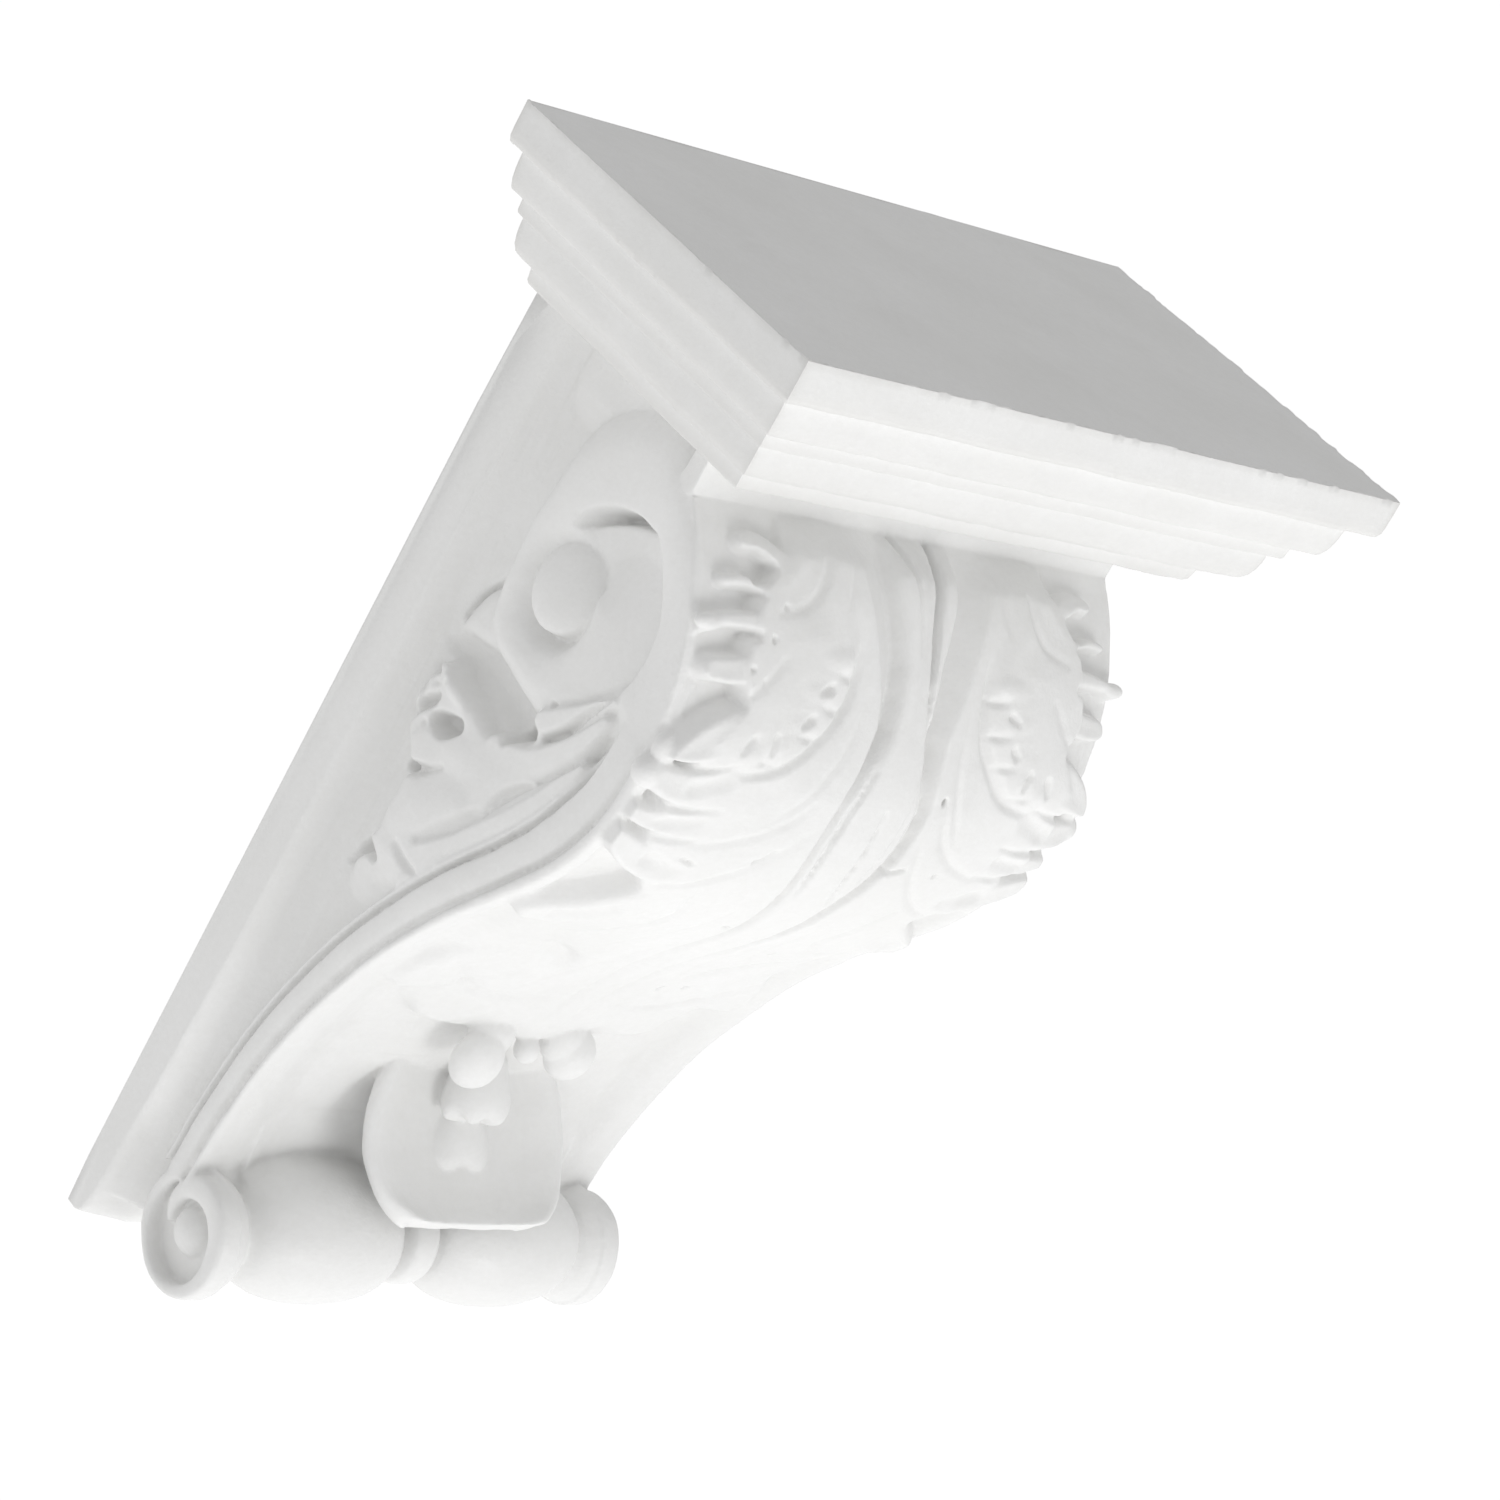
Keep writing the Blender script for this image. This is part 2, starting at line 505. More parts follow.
HOLLOWS = (((62, 75, 4.5, 1.4), (72, 79, 3.5, 1.4)), ((62, 90, 3.0, 1.0), (74, 92.5, 3.0, 1.4)),
           ((56, 109, 3.4, 1.0), (68, 106, 3.4, 1.4)), ((56, 134, 5, 1.0), (68, 143, 5, 1.6)),
           ((49, 170, 2.0, 1.5), (39, 175, 3.6, 3.4), (29, 183, 3.8, 3.0), (24, 190, 1.6, 1.0)),
           ((67, 190, 3.0, 0.8), (57, 199, 3.4, 1.2), (47, 209, 3.2, 1.6)),
           ((50, 208, 1.4, 1.2), (40, 213.5, 2.0, 2.2), (27, 214.5, 1.8, 1.8), (15, 211, 1.2, 0.8)),
           ((22, 230, 2.0, 1.2), (25, 236, 2.4, 1.6)))
PRICKS = (((52.3, 65.5, 0.8, 2.5), (52.8, 61, 0.8, 2.5)), ((63.2, 66.5, 0.8, 2.2), (61, 62, 0.8, 2.2)),
          ((44.5, 57.2, 1.1, 2.2), (42, 55, 1.1, 2.4)), ((41.5, 48, 0.8, 1.8), (37.5, 46.5, 1.5, 2.6)))
for points in SLOTS:
    front.cut(points, flat=0.5)
for points in VEINS + HOLLOWS:
    front.cut(points)
for points in PRICKS:
    front.cut(points, flat=0.4)
print("slots, veins and hollows:", len(SLOTS) + len(VEINS) + len(HOLLOWS) + len(PRICKS))

# %% The stem
STEM = ((-4, 17, 5), (4, 15.5, 6.5), (19, 13.2, 8), (37, 8.8, 7.8), (47, 8.2, 8), (56, 8.6, 8.4),
        (66, 12, 9.2), (76, 16.5, 10), (86, 17.5, 10.2), (96, 16.5, 10), (113, 12.5, 9.4), (130, 10.5, 8.8),
        (150, 9.5, 8), (175, 8.5, 7), (205, 6.5, 6), (228, 5, 5.7), (241, 4.0, 5))
stem = np.array(STEM, float)
edge_u = np.interp(front.v, stem[:, 0], stem[:, 1])[:, None]
crest = np.interp(front.v, stem[:, 0], stem[:, 2])[:, None]
q = np.clip(front.u[None, :] / edge_u, 0, 1.2)
top = crest * np.sqrt(np.clip(1 - np.clip((q - 0.45) / 0.55, 0, 1) ** 3, 0, 1))
dent = np.interp(front.v, (-4, 30, 50, 62), (2.2, 1.8, 0.8, 0.0))[:, None]
top -= dent * np.exp(-(front.u[None, :] / 3.0) ** 2)
stem_rows = np.clip((244 - front.v[:, None]) / 6, 0, 1)
front.height = np.maximum(front.height, np.where(q < 1.0, top * stem_rows - 7 * (1 - stem_rows), -99))
channel = np.interp(front.v, (-4, 6, 60, 72, 86, 120, 140), (0.5, 0.0, 0.5, 5.0, 8.0, 8.0, 7.5))[:, None]
leaf_edge = np.interp(front.v, section_rows, section_u[:, 0])[:, None]
leaf_crest = np.interp(front.v, section_rows, section_h[:, 0])[:, None]
climb = np.clip((front.u[None, :] - edge_u) / np.maximum(leaf_edge - edge_u, 0.5), 0, 1) ** 1.25
in_channel = (front.u[None, :] > edge_u - 0.3) & (front.u[None, :] < leaf_edge) & (front.v[:, None] < 142)
front.height = np.where(in_channel, channel + (leaf_crest - channel) * climb, front.height)
springing = np.clip((front.v[:, None] - 1) / 13, 0, 1) ** 0.8
front.height = np.where(front.height > 0, front.height * springing, front.height)
front.soften(0.5)
carved = front.height.copy()
front.soften(1.8)
worn = np.clip((front.v[:, None] - 135) / 30, 0, 1) * 0.75
front.height = carved + (front.height - carved) * worn
print("front relief, mm:", round(front.height.min(), 1), "to", round(front.height.max(), 1))

# %% Strokes on one side only
whole = Sheet((-86.5, 86.5), (-4.0, 312.0), 0.5, 0.0)
whole.height = np.concatenate([front.height[:, :0:-1], front.height], axis=1)
STROKES = (((7, -3, 2.0, 3.5), (5, 8, 1.8, 4.5), (3.4, 19, 1.5, 4.8), (3.2, 34, 1.2, 4.4), (4, 46, 1.0, 3.4),
            (7, 57, 0.8, 1.6)),
           ((-9, 0, 1.8, 2.6), (-6, 12, 1.6, 2.2), (-4, 24, 1.2, 1.2), (-2.5, 34, 0.9, 0.6)),
           ((-9, 66, 0.7, 1.4), (-12, 78, 0.8, 2.4), (-12.2, 90, 0.8, 2.6), (-10.5, 100, 0.8, 2.4),
            (-8.5, 110, 0.7, 1)),
           ((0.5, 77, 0.6, 1.2), (1.8, 88, 0.7, 2.2), (3.2, 100, 0.7, 2.0), (7, 112, 0.7, 1.0)),
           ((10, 70, 1.2, 0.5), (11, 84, 1.6, 0.9), (9.5, 100, 1.4, 0.6)),
           ((-32.6, 99.5, 0.7, 2.2), (-29.4, 94.5, 0.7, 2.2)),
           ((-57.5, 103.2, 0.8, 1.8), (-53, 104.4, 0.8, 1.8)),
           ((16.5, 96.5, 0.9, 2.2), (23.5, 94.6, 0.8, 2.0)), ((9.5, 58.6, 0.7, 2.4), (9.6, 59.6, 0.7, 2.4)),
           ((22, 71.5, 0.7, 2.4), (22.1, 72.6, 0.7, 2.4)), ((-61.8, 36.4, 0.7, 2.4), (-61.7, 37.3, 0.7, 2.4)),
           ((22.7, 197.6, 1.3, 2.6), (22.9, 199, 1.2, 2.6)), ((31.6, 196.4, 1.0, 2.0), (32.6, 197, 1.0, 2.0)),
           ((-63, 47.5, 0.6, 2.0), (-62.8, 48.4, 0.6, 2.0)))
for points in STROKES:
    whole.cut(points, flat=0.3)
whole.soften(0.22)
print("strokes on one side only:", len(STROKES))

# %% Bend the leaf onto the front
whole_h = whole.height * MM
place = whole.v[:, None] * MM
limit = half_width(place) - 0.0018
whole_x = np.clip(whole.u[None, :] * MM, -limit, limit)
whole_back = np.interp(half_width(place) - np.abs(whole_x), (0.002, 0.010, 0.020), (-0.003, -0.011, -0.022))
whole_back = np.minimum(whole_back, whole_h - 0.001)
keep(*slab(on_front(whole_x, place, whole_h), on_front(whole_x, place, whole_back)))
print("points on the leaf's face:", whole_h.size)

# %% Lobe tips that hang over the rim
TIPS = ((84.5, 34.8, 3.4, (4.6, 2.4, 2.4)), (84.0, 70.5, 1.4, (4.6, 3.6, 5.0)),
        (85.5, 78.5, 1.0, (5.4, 4.4, 5.0)))
for u, v, rise, radii in TIPS:
    keep_both_sides(*ball(on_front(u * MM, v * MM, rise * MM), np.array(radii) * MM))
print("tips over the rim on each side:", len(TIPS))

# %% [markdown]
# ## The reeded bands
# At each side of the front a band runs from the scroll down to the small scroll at the foot. Its outer face
# has a wide reed between two grooves. One section, swept down the S-line, gives it all, and the section is
# written with soft steps so that each reed is round.

# %% Sweep the bands
GROOVE_DEPTH = 0.0038
BAND_FROM = 0.17
BAND_STEPS = 240


def band_section(place):
    """The band's section as depths behind the S-line and insets from its outer face."""
    share = place / LINE_LENGTH
    first = np.interp(place / MM, (82, 138, 152, 190, 306), (4.8, 4.8, 4.2, 3.6, 3.2)) * MM
    second = np.interp(place / MM, (40, 112, 129, 149, 190, 248, 306),
                       (17.6, 18.0, 17.2, 15.6, 14.5, 13.5, 12.3)) * MM
    deep = second + 0.0036
    away = np.clip((share - BAND_FROM) / 0.20, 0, 1)
    depth = np.linspace(0.0, 1.0, 72)
    at = depth * deep
    inset = 0.0050 * np.clip(1 - (share - BAND_FROM) / 0.08, 0, 1) ** 1.5 + np.zeros_like(depth)
    inset += 0.0045 * np.clip((0.38 - share) / 0.09, 0, 1) * np.clip((at - second + 0.0030) / 0.0030, 0, 1)
    inset += 0.9 * GROOVE_DEPTH * (0.05 + 0.95 * away) * np.exp(-((at - first) / 0.0011) ** 2)
    inset += 1.3 * GROOVE_DEPTH * (0.10 + 0.90 * away) * np.exp(-((at - second) / 0.0009) ** 2)
    inset += 0.0012 * np.clip(1 - depth / 0.16, 0, 1) ** 2
    reed = (at - (first + second) / 2) / ((second - first) / 2)
    inset += 0.0014 * reed ** 2 * (np.abs(reed) < 1) * away
    inset += 0.0026 * np.clip((at - second - 0.0014) / 0.0022, 0, 1) ** 2 + 0.0010 * (at > second)
    rows = [(deep, 0.016), (0.010, 0.016), (0.0075, 0.009), (0.0, 0.0050)]
    face = list(zip(depth * deep, inset))
    face[0] = (0.0003, inset[0] + 0.0002)
    return [(0.0, inset[0] + 0.0008)] + face + rows


rings = []
for place in np.linspace(BAND_FROM * LINE_LENGTH, 1.04 * LINE_LENGTH, BAND_STEPS):
    section = np.array(band_section(place))
    point, _, normal = line_at(place)
    x = half_width(place) - section[:, 1]
    yz = point - normal * section[:, :1]
    rings.append(np.column_stack([x, yz]))
keep_both_sides(*loft(rings))
print("band sections:", len(rings), "of", len(rings[0]), "points")

# %% [markdown]
# ## The side: scroll, eye and wall
# The side is a second sheet. Its scroll is a band that winds inward while it sinks, round a domed eye, and
# it is written as heights over distance and angle from the scroll's middle. A swept tube would be quicker,
# but its turns would not flow into each other.

# %% The wall and its fillet
side = Sheet((10.0, 126.0), (48.0, 372.0), 0.5, 0.0)
out, down = np.meshgrid(side.u, side.v)
crease = np.interp(down, (53, 200, 280, 340, 360), (18, 17, 16, 13, 11))
fillet_end = np.interp(down, (53, 280, 340), (31, 29, 24))
wall = np.interp(down, (53, 110, 150), (4.5, 3.0, 0.0))
rise = np.clip(1 - (out - crease) / (fillet_end - crease), 0, 1) ** 1.8
side.height = wall + (12.6 - wall) * rise
print("wall, mm:", round(float(side.height.min()), 1), "to", round(float(side.height.max()), 1))

# %% The ring of the large scroll
BOWL_CENTRE = (73.0, 110.0)
FACE_LEVEL = 10.8
forward, upward = out - BOWL_CENTRE[0], BOWL_CENTRE[1] - down
reach, angle = np.hypot(forward, upward), np.degrees(np.arctan2(upward, forward))
turned = np.where(angle < -80, angle + 360, angle)
OUTER = ((-80, 50), (-40, 50), (0, 50), (30, 48), (45, 46), (60, 47), (75, 52), (90, 58), (105, 56.5),
         (120, 53), (135, 47), (150, 41), (165, 38), (180, 37), (198, 38.5), (210, 43), (222, 49), (232, 48),
         (242, 44.5), (252, 43), (264, 42), (272, 39), (280, 35))
INNER = ((-80, 33), (-56, 31.5), (0, 30), (40, 28.5), (66, 29.5), (85, 27), (102, 24), (125, 21.8), (165, 19))
FALL_OUT = ((-80, 0.5), (45, 0.6), (60, 3), (75, 5.5), (105, 6), (150, 6.5), (180, 7), (210, 9), (240, 9.5),
            (262, 8), (280, 0.5))
FALL_IN = ((-80, 1.2), (0, 1.6), (60, 2.0), (165, 2.2))
CREST = ((-80, 1.9), (-40, 1.7), (-15, 1.2), (20, 0.7), (139, 0.3), (180, 1.2), (225, 2.2), (270, 2.9),
         (280, 3.1))
SINK = ((-80, 3.1), (-40, 3.8), (0, 5.2), (40, 6.4), (90, 8.6), (165, 9.6))


def read(table, where):
    """A table's value at each angle."""
    return np.interp(where, [row[0] for row in table], [row[1] for row in table])


outer, inner = read(OUTER, turned), read(INNER, turned)
middle = 0.55 * outer + 0.45 * inner
past = np.clip((reach - middle) / (outer - middle), 0, 1)
short = np.clip((middle - reach) / (middle - inner), 0, 1)
ring = FACE_LEVEL - read(CREST, turned) - read(FALL_OUT, turned) * past ** 2.2
ring = ring - read(FALL_IN, turned) * short ** 2
print("ring's reach, mm:", round(float(outer.min()), 1), "to", round(float(outer.max()), 1))

# %% The scroll's far side and where it joins the wall
back_inner = np.interp(turned, (110, 139, 150, 180, 210, 240, 270, 280), (20, 20, 19, 23, 25, 21, 14, 12))
back_middle = 0.60 * outer + 0.40 * back_inner
back_short = np.clip((back_middle - reach) / (back_middle - back_inner), 0, 1)
back_past = np.clip((reach - back_middle) / (outer - back_middle), 0, 1)
back_ring = FACE_LEVEL - read(CREST, turned) - read(FALL_OUT, turned) * back_past ** 2.0
back_ring = back_ring - np.interp(turned, (110, 139, 180, 240, 280),
                                  (5.0, 5.5, 5.5, 5.0, 0.5)) * back_short ** 1.8
tilt = (2.2 - 3.6 * np.clip(reach / inner, 0, 1) ** 1.6) * np.clip((turned + 80) / 70, 0, 1)
strip = FACE_LEVEL - read(SINK, turned) + tilt
front_part = np.where(reach < inner, strip, ring)
turn_share = np.clip((turned - 112) / 50, 0, 1)
turn_share = turn_share * turn_share * (3 - 2 * turn_share)
scroll = front_part + (back_ring - front_part) * turn_share
lower_front = np.clip((-26 - turned) / 30, 0, 1) * (reach > inner)
scroll = np.where(reach < outer, scroll - 9 * lower_front, -9)
side.height = np.maximum(side.height, scroll)
beyond = (turned > 15) & (turned < 75) & (reach >= outer)
side.height = np.where(beyond, np.maximum(side.height, 9.6), side.height)
side.cut(((80, 83.4, 1.0, 1.5), (72.5, 84.8, 1.8, 7), (65.5, 88, 2.2, 9), (58.5, 93, 2.0, 8),
          (54, 98.5, 1.0, 1.5)),
         flat=0.5)
print("scroll stands up to", round(float(side.height.max()), 1), "mm")

# %% The eye
EYE_CENTRE = (61.0, 115.2)
EYE_REACH = 14.0
eye_forward, eye_upward = out - EYE_CENTRE[0], EYE_CENTRE[1] - down
from_eye = np.hypot(eye_forward, eye_upward)
eye_angle = np.degrees(np.arctan2(eye_upward, eye_forward))
moat = np.interp(eye_angle, (-180, -110, -60, -10, 40, 90, 140, 180),
                 (2.0, 3.6, 4.4, 2.2, 0.6, 0.4, 0.8, 2.0))
moat_reach = np.interp(eye_angle, (-180, -110, -60, 0, 180), (3.0, 4.0, 3.2, 2.0, 3.0))
side.height -= moat * np.exp(-np.clip((from_eye - EYE_REACH) / moat_reach, 0, 5) ** 2) * (from_eye > 8)
share = np.clip(from_eye / EYE_REACH, 0, 1)
dome = FACE_LEVEL - 2.2 - 0.18 * eye_upward - 4.4 * (1 - np.sqrt(1 - share ** 2.2))
side.height = np.where(from_eye < EYE_REACH, dome, side.height)
print("eye stands", round(float(dome[from_eye < EYE_REACH].max()), 1), "mm proud of the wall")

# %% The side leaf's blade and leaflets
SWELLING = ((46, 122), (38, 127), (31, 134), (27, 143), (26, 151), (34, 150), (44, 148), (50, 140), (50, 130))
BLADE = ((102, 127), (95.5, 129.5), (88.5, 137), (81, 142), (75, 147.5), (73.5, 152), (76.5, 156), (71, 160),
         (65.5, 165), (58, 164.5), (48, 162), (39, 161), (31, 162.5), (26, 168), (25, 176), (28, 184),
         (34, 190), (37, 198), (36, 206), (37, 213), (35, 218), (33, 225), (32, 232), (34, 238), (40, 240),
         (47, 236), (55, 228), (65, 214), (76, 199), (86, 184), (94, 168), (99, 152), (102, 138))
LEAFLETS = (((100, 150, 2.4, 8.2), (94, 163, 3.0, 8), (87, 174.5, 3.2, 7.8), (80, 184, 3.2, 7.6),
             (72, 194, 3.2, 7.4), (64, 203, 3.0, 7), (55, 211, 2.2, 6.4)),
            ((101, 134, 2.2, 9), (97, 142, 3.4, 8.6), (91.5, 150, 4.0, 8.2), (85, 157.5, 4.4, 7.8),
             (77, 163.5, 5, 7.0), (66, 168, 6, 6.2)),
            ((101, 127.5, 1.6, 9.4), (94, 134.5, 2.8, 9.2), (87, 142, 3.9, 9), (79.5, 148.5, 4.6, 8.8)))
before_leaf = side.height.copy()
side.mass(SWELLING, 4.4, edge=6.0, blend=2.5)
side.cut(((27, 156, 3, 1.5), (35, 155, 6.5, 3.6), (47, 154.5, 8.0, 4.8), (60, 156, 7.5, 4.6),
          (68, 157, 5, 3)), flat=0.2)
side.mass(BLADE, 6.0, edge=3.5, blend=1.2)
for points in LEAFLETS:
    side.lobe(points, foot=-0.5, hollow=0.06, lean=0.06, blend=0.5)
side.ridge(((50, 167.5, 1.6, 6.6), (45, 164.6, 2.4, 7.8), (38, 163.6, 2.6, 8.2), (32, 161.5, 2.2, 6.6)),
           foot=-0.5, blend=1.0)
for points in (((62, 190, 9, 1.2), (50, 198, 10, 1.2), (44, 205, 7, 0.8)),
               ((58, 176, 8, 0.8), (50, 178, 7, 0.8))):
    side.lift(points)
print("leaflets on each side:", len(LEAFLETS))

# %% The side leaf's hollows
SIDE_CUTS = (((48, 171.5, 3.0, 5), (43, 174.5, 4.4, 9), (38.5, 175.5, 2.8, 8)),
             ((35, 169.5, 1.4, 4), (31, 174.5, 2.2, 6), (28, 180, 1.4, 4)),
             ((51, 184, 1.0, 1.4), (45, 188.7, 1.8, 3.0), (40, 191.7, 2.4, 5), (33.5, 194.5, 2.2, 5)),
             ((37, 197.7, 0.9, 2), (35.4, 203, 0.9, 2.2), (35.4, 212.5, 0.9, 2)),
             ((74, 184, 1.6, 1.6), (70, 188, 2.6, 2.2), (65, 194.7, 3.0, 2.4), (55, 205.7, 2.2, 1.4)),
             ((86, 166, 0.9, 2.5), (80.5, 171.5, 2.2, 3.4), (76.8, 177, 2.6, 3.0), (74, 183.5, 1.4, 1.6)),
             ((99.5, 127.5, 0.7, 2), (93.5, 136.5, 0.9, 4.5), (87.5, 146.5, 1.0, 6), (81.5, 153, 1.1, 6)),
             ((103, 138, 0.7, 2.5), (100, 146.5, 0.8, 3.5), (95, 154.5, 0.8, 3.0), (87, 164, 0.9, 3)),
             ((100.5, 120, 0.7, 0.8), (95, 127.7, 0.8, 1.4), (88, 135.7, 0.9, 1.4), (80.7, 140.7, 0.9, 0.8)),
             ((73.5, 154.5, 1.6, 7), (70, 158.5, 2.8, 9), (67.5, 163, 1.4, 6)),
             ((60, 214.5, 1.4, 1.6), (54, 214.5, 2.0, 2.0), (48, 212.5, 1.4, 1.2)),
             ((41, 222.5, 1.8, 5), (36.5, 221.5, 3.0, 8), (33, 225, 2.6, 8), (29, 232, 1.2, 4)),
             ((52, 226, 2.5, 1.2), (46, 230, 3.0, 1.6)),
             ((39, 125.2, 0.6, 1.5), (33, 131, 0.9, 3.5), (28.5, 138.5, 1.0, 4.5), (26.5, 147, 0.8, 3)))
for points in SIDE_CUTS:
    side.cut(points, flat=0.3)
crumbs = np.random.default_rng(11)
for _ in range(16):
    u, v = crumbs.uniform(24, 44), crumbs.uniform(226, 252)
    lean = crumbs.uniform(-0.6, 1.2)
    side.cut(((u, v, 0.9, crumbs.uniform(0.5, 1.4)), (u - 3 * lean, v + crumbs.uniform(2, 5), 0.8, 0.6)))
for _ in range(26):
    u, v = crumbs.uniform(26, 38), crumbs.uniform(160, 184)
    side.cut(((u, v, 0.9, crumbs.uniform(0.6, 1.6)),
              (u + crumbs.uniform(-2, 2), v + crumbs.uniform(1, 3), 0.8, 0.8)))
leaf_share = np.where(out < 56, np.clip((240 - down) / 24, 0, 1), 1.0)
side.height = before_leaf + (side.height - before_leaf) * leaf_share
side.soften(0.45)
print("side relief, mm:", round(side.height.min(), 1), "to", round(side.height.max(), 1))

# %% Lay the side's sheet on the body
y = -out * MM
z = TOP - down * MM
line_y = np.interp(-z, -LINE[:, 1], LINE[:, 0])
line_y = np.where(z > LINE_TOP, 0.0012 - NECK_DEPTH, line_y)
from_volute = np.clip((down - 118) / 22, 0, 1)
y = np.maximum(y, line_y + 0.0006 + 0.0090 * from_volute)
side_front = np.stack([WALL_HALF + side.height * MM, y, z], -1)
side_back = np.stack([np.full(y.shape, WALL_HALF - 0.020), y, z], -1)
keep_both_sides(*slab(side_front, side_back))
print("points on each side's sheet:", y.size)

# %% [markdown]
# ## The small scrolls
# The band ends at the foot in a small scroll, wound once round a button. Its inner cheek swells like a
# cushion, because the mould was cut round there.

# %% Wind the small scrolls
FOOT_TURNS = ((-215, 0.88, 0.22, 0.0), (-150, 0.90, 0.18, 0.0), (-90, 0.90, 0.18, 0.0),
              (-45, 0.86, 0.26, 0.0), (0, 0.80, 0.38, 0.0), (60, 0.77, 0.44, 0.0), (110, 0.68, 0.40, 0.02),
              (160, 0.56, 0.22, 0.06), (200, 0.50, 0.12, 0.14))
FOOT_SUNK = 0.006
STRIP_SECTION = ((-0.44, -1.3), (-0.46, -0.70), (-0.50, -0.36), (-0.44, -0.16), (-0.28, -0.04), (-0.08, 0.0),
                 (0.12, 0.0), (0.30, -0.04), (0.42, -0.14), (0.48, -0.30), (0.5, -0.6), (0.5, -1.3))
ROLL_AXIS = LINE[-1] + np.array([-0.55, -1.05]) * ROLL_RADIUS
FOOT_AXIS = LINE[-1] + np.array([-0.34, -1.05]) * FOOT_VOLUTE_RADIUS


def wind(centre, face, radius, turns, sunk, steps):
    """A scroll's strip on the right side."""
    angles = np.linspace(turns[0][0], turns[-1][0], steps)
    table = np.array(turns, float)
    mean, width, inset = (np.interp(angles, table[:, 0], column) * radius for column in table[:, 1:].T)
    rings = []
    for angle, q, wide, sink in zip(np.radians(angles), mean, width, inset):
        section = np.array(STRIP_SECTION)
        reach = q + section[:, 0] * wide
        rings.append(np.column_stack([face - sink + section[:, 1] * sunk, centre[0] - reach * math.cos(angle),
                                      centre[1] + reach * math.sin(angle)]))
    return loft(rings)


def disc(centre, levels, sides=72):
    """A round block across X, through pairs of a distance from the middle and a radius."""
    angle = np.linspace(0, 2 * math.pi, sides, endpoint=False)
    return loft([np.column_stack([np.full(sides, x), centre[0] - reach * np.cos(angle),
                                  centre[1] + reach * np.sin(angle)]) for x, reach in levels])


foot_face = FOOT_WIDTH / 2
keep_both_sides(*wind(FOOT_AXIS, foot_face, FOOT_VOLUTE_RADIUS, FOOT_TURNS, FOOT_SUNK, 120))
foot_floor = foot_face - FOOT_SUNK
cheek = [(foot_floor - 0.0240, 0.0060), (foot_floor - 0.0150, 0.0088), (foot_floor - 0.0112, 0.0112),
         (foot_floor - 0.0092, 0.0144), (foot_floor - 0.0070, 0.0172),
         (foot_floor - 0.0040, 0.0192), (foot_floor - 0.0010, 0.0202), (foot_floor, 0.0202)]
keep_both_sides(*disc(FOOT_AXIS, cheek))
keep_both_sides(*ball((foot_floor, *FOOT_AXIS), (0.0058, 0.0078, 0.0078)))
print("small scroll winds through", FOOT_TURNS[-1][0] - FOOT_TURNS[0][0], "degrees")

# %% [markdown]
# ## The roll, the tongue and the husks
# The roll at the foot is turned like a baluster: a bead between two long balls. A cupped tongue curls out
# over it, with two husks hanging on it under the leaf's point.

# %% Turn the roll
ROLL_CENTRE = ROLL_AXIS + np.array([0.0, 0.003])
BALL_MIDDLE, BALL_HALF, BALL_END, BALL_RADIUS = 0.0370, 0.0290, 0.0085, 0.0224
ROLL_PROFILE = [(0.0, 0.0156), (0.0028, 0.0155), (0.0046, 0.0146), (0.0058, 0.0122), (0.0064, 0.0092),
                (0.0080, 0.0088)]
for angle in np.radians(np.arange(14, 172, 5)):
    swell = math.sin(angle)
    ROLL_PROFILE.append((BALL_MIDDLE - BALL_HALF * math.cos(angle),
                         BALL_END + (BALL_RADIUS - BALL_END) * swell ** 0.85))
ROLL_PROFILE.append((0.0680, 0.0082))
ROLL_PROFILE.append((0.0740, 0.0082))
half_profile = np.array(ROLL_PROFILE)
profile = np.concatenate([half_profile[:0:-1] * (-1, 1), half_profile])
keep(*disc(ROLL_CENTRE, [(x, reach) for x, reach in profile], 96))
print("roll's length, mm:", round(2 * half_profile[-1, 0] / MM, 1))

# %% Shape the tongue
TONGUE = ((0.80, 4.20, 1.0, 0.2), (0.62, 3.70, 1.35, 0.5), (0.36, 3.16, 1.75, 0.9), (0.06, 2.66, 1.96, 1.0),
          (-0.30, 2.16, 2.02, 1.0), (-0.70, 1.80, 1.93, 1.05), (-1.00, 1.60, 1.76, 1.15),
          (-1.24, 1.50, 1.50, 1.2), (-1.31, 1.45, 1.30, 1.0))
TONGUE_SECTION = ((-1.0, 0.0), (-0.99, 1.4), (-0.96, 2.2), (-0.90, 2.3), (-0.80, 1.2), (-0.62, -0.4),
                  (-0.35, -1.6), (0.0, -2.0), (0.35, -1.6), (0.62, -0.4), (0.80, 1.2), (0.90, 2.3),
                  (0.96, 2.2), (0.99, 1.4), (1.0, 0.0), (0.97, -2.6), (0.90, -5.0), (0.76, -7.0), (0.0, -8.0),
                  (-0.76, -7.0), (-0.90, -5.0), (-0.97, -2.6))
spots = smooth_path(np.array(TONGUE) * (ROLL_RADIUS, ROLL_RADIUS, ROLL_RADIUS, 1.0), 8)
runs = np.gradient(spots[:, :2], axis=0)
runs /= np.linalg.norm(runs, axis=1)[:, None]
rings = []
for (y_part, z_part, half, size), run in zip(spots, runs):
    section = np.array(TONGUE_SECTION)
    lift = section[:, 1] * MM * size
    rings.append(np.column_stack([section[:, 0] * half, ROLL_AXIS[0] + y_part + run[1] * lift,
                                  ROLL_AXIS[1] + z_part - run[0] * lift]))
keep(*loft(rings))
print("rings of the tongue:", len(rings))

